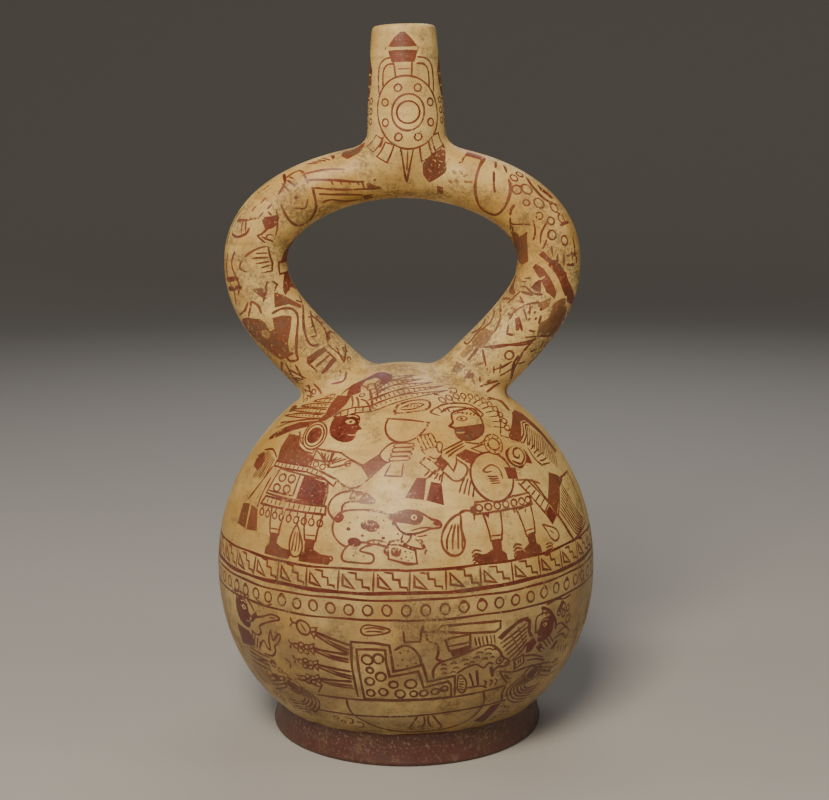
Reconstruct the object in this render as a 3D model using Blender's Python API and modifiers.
"""A painted earthenware stirrup spout bottle, hollow, on a low ring foot.

A near-spherical chamber carries a hollow stirrup: two tubes that rise from its
shoulders, lean out, and meet above it under one short upright spout. The whole
is one fired piece, so it is one solid with one opening, the mouth of the spout.

Frame: metres, +Z up, origin at the centre of the foot's underside, the stirrup
lying in the XZ plane.
"""

import math

import bmesh
import bpy
from mathutils import Matrix, Vector

# Chamber
HEIGHT = 0.290                  # foot to rim
CHAMBER_RADIUS = 0.0792         # at its widest
WIDEST_Z = 0.0702
CROWN_RISE = 0.0832             # widest level to the crown
BELLY_DROP = 0.0769             # widest level to where the belly curve would close
CROWN_POWER = 1.93              # 2 is an ellipse, more is squarer
BELLY_POWER = 2.167
CHAMBER_WALL = 0.005

# Ring foot
FOOT_HEIGHT = 0.0130
FOOT_TOP_RADIUS = 0.0554
FOOT_RADIUS = 0.0570            # at its widest, just above the floor
FOOT_EDGE = 0.0012              # worn rounding of the lower edge
FOOT_RING_WIDTH = 0.0085        # flat ring that it stands on
FOOT_HOLLOW = 0.0060            # depth of the recess inside the ring
FLOOR_Z = 0.0125                # inside floor of the chamber

# Stirrup, centreline and tube
STIRRUP_HALF_SPAN = 0.0604      # middle to centreline at its widest
STIRRUP_SIDE_Z = 0.1955         # level of that widest point
STIRRUP_TOP_Z = 0.2325          # centreline under the spout
STIRRUP_ROOT_X = 0.0280         # where the centreline enters the chamber
STIRRUP_LEAN = math.radians(43.6)   # rise of the tube there, from level
STIRRUP_SUNK = 0.0140           # how far the tube runs on inside
STIRRUP_SHIFT = -0.0006         # the whole stirrup sits a little to the left
TOP_HANDLE = 0.0273             # handles that shape the two curves of each side
SIDE_HANDLE_UP = 0.0246
SIDE_HANDLE_DOWN = 0.0146
ROOT_HANDLE = 0.0322
TUBE_RADIUS_TOP = 0.01095
TUBE_RADIUS_SIDE = 0.0129
TUBE_RADIUS_ROOT = 0.0138
TUBE_WALL = 0.0038
COLLAR_SPREAD = 0.0048          # clay smoothed out round each tube's root
COLLAR_RISE = 0.0060

# Spout
SPOUT_BASE_Z = 0.2460
SPOUT_BASE_RADIUS = 0.0157
SPOUT_RIM_RADIUS = 0.0130
SPOUT_SKIRT = 0.0066            # clay smoothed out along the stirrup at its foot
SPOUT_SKIRT_TOP = 0.2485
SPOUT_SKIRT_Z = 0.2405
LIP_ROUNDING = 0.0026
SPOUT_WALL = 0.0036
SPOUT_SHIFT = 0.0013            # it stands a little off centre
SPOUT_LEAN = math.radians(-1.0)     # and leans back towards the middle
KNUCKLE = Vector((0.0230, 0.0154, 0.0109))     # half sizes of the swelling under it
KNUCKLE_Z = 0.2327

# Facets
CHAMBER_STEPS = 64
CAVITY_STEPS = 32
COLLAR_STEPS = 28
SPOUT_STEPS = 32
BORE_STEPS = 20
TUBE_SIDES = 16
TUBE_BORE_SIDES = 10
MERGE = 0.00001

CLAY_CREAM = (0.72, 0.57, 0.33, 1.0)


def clear_scene():
    for old in list(bpy.data.objects):
        bpy.data.objects.remove(old)


def new_collection(name):
    collection = bpy.data.collections.new(name)
    bpy.context.scene.collection.children.link(collection)
    return collection


def slip_material():
    """Cream slip, burnished: matt clay with a slight polish."""
    material = bpy.data.materials.new("cream_slip")
    material.use_nodes = True
    shader = material.node_tree.nodes["Principled BSDF"]
    shader.inputs["Base Color"].default_value = CLAY_CREAM
    shader.inputs["Roughness"].default_value = 0.45
    shader.inputs["Metallic"].default_value = 0.0
    return material


def quarter_curve(half_width, rise, power, centre_z, steps, last_z=None):
    """(radius, z) points of a superellipse quarter, from its widest level to the
    axis, or to the level last_z. rise is negative for a belly."""
    end = math.pi / 2
    if last_z is not None:
        end = math.asin(min(1.0, ((last_z - centre_z) / rise) ** (power / 2)))
    points = []
    for i in range(steps + 1):
        turn = end * i / steps
        radius = half_width * max(0.0, math.cos(turn)) ** (2 / power)
        points.append((radius, centre_z + rise * math.sin(turn) ** (2 / power)))
    return points


def turned(name, profile, steps, collection):
    """A closed body turned about Z from (radius, z) points listed top to bottom."""
    mesh = bpy.data.meshes.new(name)
    vertices = [(radius, 0.0, z) for radius, z in profile]
    edges = [(i, i + 1) for i in range(len(profile) - 1)]
    mesh.from_pydata(vertices, edges, [])
    body = bpy.data.objects.new(name, mesh)
    collection.objects.link(body)
    screw = body.modifiers.new("turn", "SCREW")
    screw.axis = "Z"
    screw.steps = steps
    screw.render_steps = steps
    screw.use_merge_vertices = True
    screw.merge_threshold = MERGE
    screw.use_smooth_shade = True
    return body


def chamber_profile():
    """The chamber's outside with its ring foot, from the crown to the recess."""
    crown = quarter_curve(CHAMBER_RADIUS, CROWN_RISE, CROWN_POWER, WIDEST_Z, 13)
    crown[-1] = (0.0, WIDEST_Z + CROWN_RISE)
    belly = quarter_curve(CHAMBER_RADIUS, -BELLY_DROP, BELLY_POWER, WIDEST_Z, 9, FOOT_HEIGHT)
    ring_outer = FOOT_RADIUS - FOOT_EDGE
    ring_inner = ring_outer - FOOT_RING_WIDTH
    foot = [
        (FOOT_TOP_RADIUS, FOOT_HEIGHT - 0.0004),
        (FOOT_TOP_RADIUS + 0.0003, FOOT_HEIGHT * 0.55),
        (FOOT_RADIUS, FOOT_EDGE * 1.4),
        (FOOT_RADIUS - FOOT_EDGE * 0.3, FOOT_EDGE * 0.35),
        (ring_outer, 0.0),
        (ring_inner, 0.0),
        (ring_inner - 0.0015, FOOT_HOLLOW * 0.85),
        (ring_inner - 0.0050, FOOT_HOLLOW),
        (0.0, FOOT_HOLLOW),
    ]
    return list(reversed(crown)) + belly[1:] + foot


def cavity_profile():
    """The chamber's inside, from the crown to the middle of its floor."""
    inside = CHAMBER_RADIUS - CHAMBER_WALL
    crown = quarter_curve(inside, CROWN_RISE - CHAMBER_WALL, CROWN_POWER, WIDEST_Z, 8)
    crown[-1] = (0.0, WIDEST_Z + CROWN_RISE - CHAMBER_WALL)
    floor_corner = FLOOR_Z + 0.0030
    belly = quarter_curve(
        inside, CHAMBER_WALL - BELLY_DROP, BELLY_POWER, WIDEST_Z, 6, floor_corner
    )
    corner_radius = belly[-1][0]
    floor = [(corner_radius - 0.0050, FLOOR_Z), (0.0, FLOOR_Z)]
    return list(reversed(crown)) + belly[1:] + floor


def bezier(p0, p1, p2, p3, t):
    return (
        p0 * (1 - t) ** 3
        + p1 * 3 * t * (1 - t) ** 2
        + p2 * 3 * t * t * (1 - t)
        + p3 * t**3
    )


def crown_height(x):
    """Level of the chamber's outside above a point x away from its axis."""
    return WIDEST_Z + CROWN_RISE * (1 - (x / CHAMBER_RADIUS) ** CROWN_POWER) ** (1 / CROWN_POWER)


def stirrup_root():
    """Where the right tube's centreline enters the chamber, its direction up and
    out from there, and the chamber's outward normal."""
    root = Vector((STIRRUP_ROOT_X, 0.0, crown_height(STIRRUP_ROOT_X)))
    along = Vector((math.cos(STIRRUP_LEAN), 0.0, math.sin(STIRRUP_LEAN)))
    step = 0.0005
    slope = (crown_height(root.x + step) - crown_height(root.x - step)) / (2 * step)
    return root, along, Vector((-slope, 0.0, 1.0)).normalized()


def stirrup_half():
    """One side's centreline from the top middle out, round and down to its sunk
    end, with each point's tube radius. x is positive."""
    root, along, _ = stirrup_root()
    top = Vector((0.0, 0.0, STIRRUP_TOP_Z))
    side = Vector((STIRRUP_HALF_SPAN, 0.0, STIRRUP_SIDE_Z))
    upper = [
        top,
        top + Vector((TOP_HANDLE, 0.0, 0.0)),
        side + Vector((0.0, 0.0, SIDE_HANDLE_UP)),
        side,
    ]
    lower = [
        side,
        side - Vector((0.0, 0.0, SIDE_HANDLE_DOWN)),
        root + along * ROOT_HANDLE,
        root,
    ]
    upper_steps, lower_steps = 11, 11
    points = []
    for i in range(upper_steps):
        t = i / upper_steps
        radius = TUBE_RADIUS_TOP + (TUBE_RADIUS_SIDE - TUBE_RADIUS_TOP) * t * t * (3 - 2 * t)
        points.append((bezier(*upper, t), radius))
    for i in range(lower_steps + 1):
        t = i / lower_steps
        radius = TUBE_RADIUS_SIDE + (TUBE_RADIUS_ROOT - TUBE_RADIUS_SIDE) * t
        points.append((bezier(*lower, t), radius))
    points.append((root - along * STIRRUP_SUNK, TUBE_RADIUS_ROOT))
    return points


def stirrup_tube(name, narrower, sides, collection):
    """The whole stirrup as one mesh tube: its outside, or its bore if narrower."""
    half = stirrup_half()
    left = [(Vector((-point.x, point.y, point.z)), radius) for point, radius in reversed(half)]
    route = left + half[1:]
    curve = bpy.data.curves.new(name + "_path", "CURVE")
    curve.dimensions = "3D"
    curve.bevel_depth = 1.0
    curve.bevel_resolution = sides // 2 - 2
    curve.use_fill_caps = True
    spline = curve.splines.new("POLY")
    spline.points.add(len(route) - 1)
    for spot, (point, radius) in zip(spline.points, route):
        spot.co = (point.x + STIRRUP_SHIFT, point.y, point.z, 1.0)
        spot.radius = radius - narrower
    path = bpy.data.objects.new(name + "_path", curve)
    collection.objects.link(path)
    return meshed(path, name, collection)


def meshed(path, name, collection):
    """A curve or a turned body as a plain closed mesh object; the old one goes."""
    bpy.context.view_layer.update()
    graph = bpy.context.evaluated_depsgraph_get()
    mesh = bpy.data.meshes.new_from_object(path.evaluated_get(graph))
    tube = bmesh.new()
    tube.from_mesh(mesh)
    bmesh.ops.remove_doubles(tube, verts=tube.verts, dist=MERGE)
    bmesh.ops.recalc_face_normals(tube, faces=tube.faces)
    tube.to_mesh(mesh)
    tube.free()
    solid = bpy.data.objects.new(name, mesh)
    solid.matrix_world = path.matrix_world
    collection.objects.link(solid)
    bpy.data.objects.remove(path)
    return solid


def collar(side, collection):
    """A turned fillet sheared to follow the tube, its rings level with the
    chamber's skin. side is 1 on the right and -1 on the left."""
    root, along, normal = stirrup_root()
    tube = TUBE_RADIUS_ROOT
    profile = [(0.0, COLLAR_RISE), (tube - 0.0003, COLLAR_RISE)]
    steps = 6
    for i in range(1, steps + 1):
        turn = math.radians(84) * i / steps
        radius = tube - 0.0003 + COLLAR_SPREAD * (1 - math.cos(turn))
        drop = radius**2 / (2 * CHAMBER_RADIUS)
        profile.append((radius, COLLAR_RISE * (1 - math.sin(turn)) - drop))
    profile.append((profile[-1][0], profile[-1][1] - 0.0030))
    profile.append((0.0, profile[-1][1]))
    name = "collar_right" if side > 0 else "collar_left"
    fillet = meshed(turned(name + "_turned", profile, COLLAR_STEPS, collection), name, collection)
    tilt = along.angle(normal)
    normal.x *= side
    along.x *= side
    root.x = root.x * side + STIRRUP_SHIFT
    tangent = Vector((0.0, 1.0, 0.0)).cross(normal)
    shear = Matrix.Identity(4)
    shear.col[0] = (*(tangent / math.cos(tilt)), 0.0)
    shear.col[2] = (*(along / math.cos(tilt)), 0.0)
    shear.col[3] = (*root, 1.0)
    fillet.data.transform(shear)
    return fillet


def spout_profile():
    """The spout's outside, from its rim down into the stirrup."""
    lip_edge = SPOUT_RIM_RADIUS - LIP_ROUNDING
    points = [(0.0, HEIGHT)]
    for i in range(5):
        turn = math.pi / 2 * i / 4
        points.append((
            lip_edge + LIP_ROUNDING * math.sin(turn),
            HEIGHT - LIP_ROUNDING * (1 - math.cos(turn)),
        ))
    neck_top = points[-1][1]
    for i in range(1, 4):
        t = i / 4
        points.append((
            SPOUT_RIM_RADIUS + (SPOUT_BASE_RADIUS - SPOUT_RIM_RADIUS) * t**0.8,
            neck_top + (SPOUT_SKIRT_TOP - neck_top) * t,
        ))
    skirt_steps = 6
    for i in range(skirt_steps + 1):
        turn = math.pi / 2 * i / skirt_steps
        points.append((
            SPOUT_BASE_RADIUS,
            SPOUT_SKIRT_TOP - (SPOUT_SKIRT_TOP - SPOUT_SKIRT_Z) * math.sin(turn),
        ))
    points.append((SPOUT_BASE_RADIUS - 0.0004, KNUCKLE_Z + 0.0030))
    points.append((SPOUT_BASE_RADIUS - 0.0012, KNUCKLE_Z + 0.0005))
    points.append((0.0, KNUCKLE_Z + 0.0005))
    return points


def spout_outside(collection):
    """The turned spout, its foot drawn out along the stirrup to both sides."""
    rough = turned("spout_turned", spout_profile(), SPOUT_STEPS, collection)
    spout = meshed(rough, "spout_outside", collection)
    for vertex in spout.data.vertices:
        x, y, z = vertex.co
        radius = math.hypot(x, y)
        if radius < SPOUT_RIM_RADIUS or z > SPOUT_SKIRT_TOP:
            continue
        fall = min(1.0, (SPOUT_SKIRT_TOP - z) / (SPOUT_SKIRT_TOP - SPOUT_SKIRT_Z))
        spread = SPOUT_SKIRT * (1 - math.sqrt(1 - fall**2)) * (x / radius) ** 4
        vertex.co.x += spread * x / radius
        vertex.co.y += spread * y / radius
    lean_spout(spout)
    return spout


def spout_bore_profile():
    """The bore, from above the rim down into the stirrup's own bore."""
    mouth = SPOUT_RIM_RADIUS - SPOUT_WALL
    lip = LIP_ROUNDING * 0.5
    return [
        (0.0, HEIGHT + 0.004),
        (mouth + lip + 0.004, HEIGHT + 0.004),
        (mouth + lip, HEIGHT),
        (mouth, HEIGHT - lip),
        (mouth, SPOUT_BASE_Z),
        (TUBE_RADIUS_TOP - TUBE_WALL, STIRRUP_TOP_Z + 0.0050),
        (TUBE_RADIUS_TOP - TUBE_WALL, STIRRUP_TOP_Z),
        (0.0, STIRRUP_TOP_Z),
    ]


def lean_spout(spout):
    """Sets the spout off centre, leaning about its base."""
    spout.rotation_euler = (0.0, SPOUT_LEAN, 0.0)
    pivot = Vector((0.0, 0.0, SPOUT_BASE_Z))
    turned_pivot = spout.rotation_euler.to_matrix() @ pivot
    spout.location = pivot - turned_pivot + Vector((SPOUT_SHIFT, 0.0, 0.0))


def knuckle(collection):
    """The swelling of clay where both tubes and the spout run together."""
    bpy.ops.mesh.primitive_uv_sphere_add(segments=28, ring_count=12, radius=1.0)
    swelling = bpy.context.object
    swelling.name = "knuckle"
    swelling.scale = KNUCKLE
    swelling.location = (SPOUT_SHIFT, 0.0, KNUCKLE_Z)
    for old in list(swelling.users_collection):
        old.objects.unlink(swelling)
    collection.objects.link(swelling)
    return swelling


def hide_helper(helper):
    helper.hide_render = True
    helper.display_type = "WIRE"


def combine(target, other, operation):
    cut = target.modifiers.new(operation.lower() + "_" + other.name, "BOOLEAN")
    cut.operation = operation
    cut.solver = "EXACT"
    cut.object = other
    hide_helper(other)


def build():
    clear_scene()
    parts = new_collection("stirrup_spout_vessel")
    helpers = new_collection("helpers")

    vessel = turned("vessel", chamber_profile(), CHAMBER_STEPS, parts)
    vessel.data.materials.append(slip_material())

    outer_tube = stirrup_tube("stirrup_outside", 0.0, TUBE_SIDES, helpers)
    collars = [collar(side, helpers) for side in (-1, 1)]
    swelling = knuckle(helpers)
    spout = spout_outside(helpers)

    cavity = turned("cavity", cavity_profile(), CAVITY_STEPS, helpers)
    tube_bore = stirrup_tube("stirrup_bore", TUBE_WALL, TUBE_BORE_SIDES, helpers)
    spout_bore = turned("spout_bore", spout_bore_profile(), BORE_STEPS, helpers)
    lean_spout(spout_bore)

    for solid in (outer_tube, *collars, swelling, spout):
        combine(vessel, solid, "UNION")
    for hollow in (cavity, tube_bore, spout_bore):
        combine(vessel, hollow, "DIFFERENCE")


build()
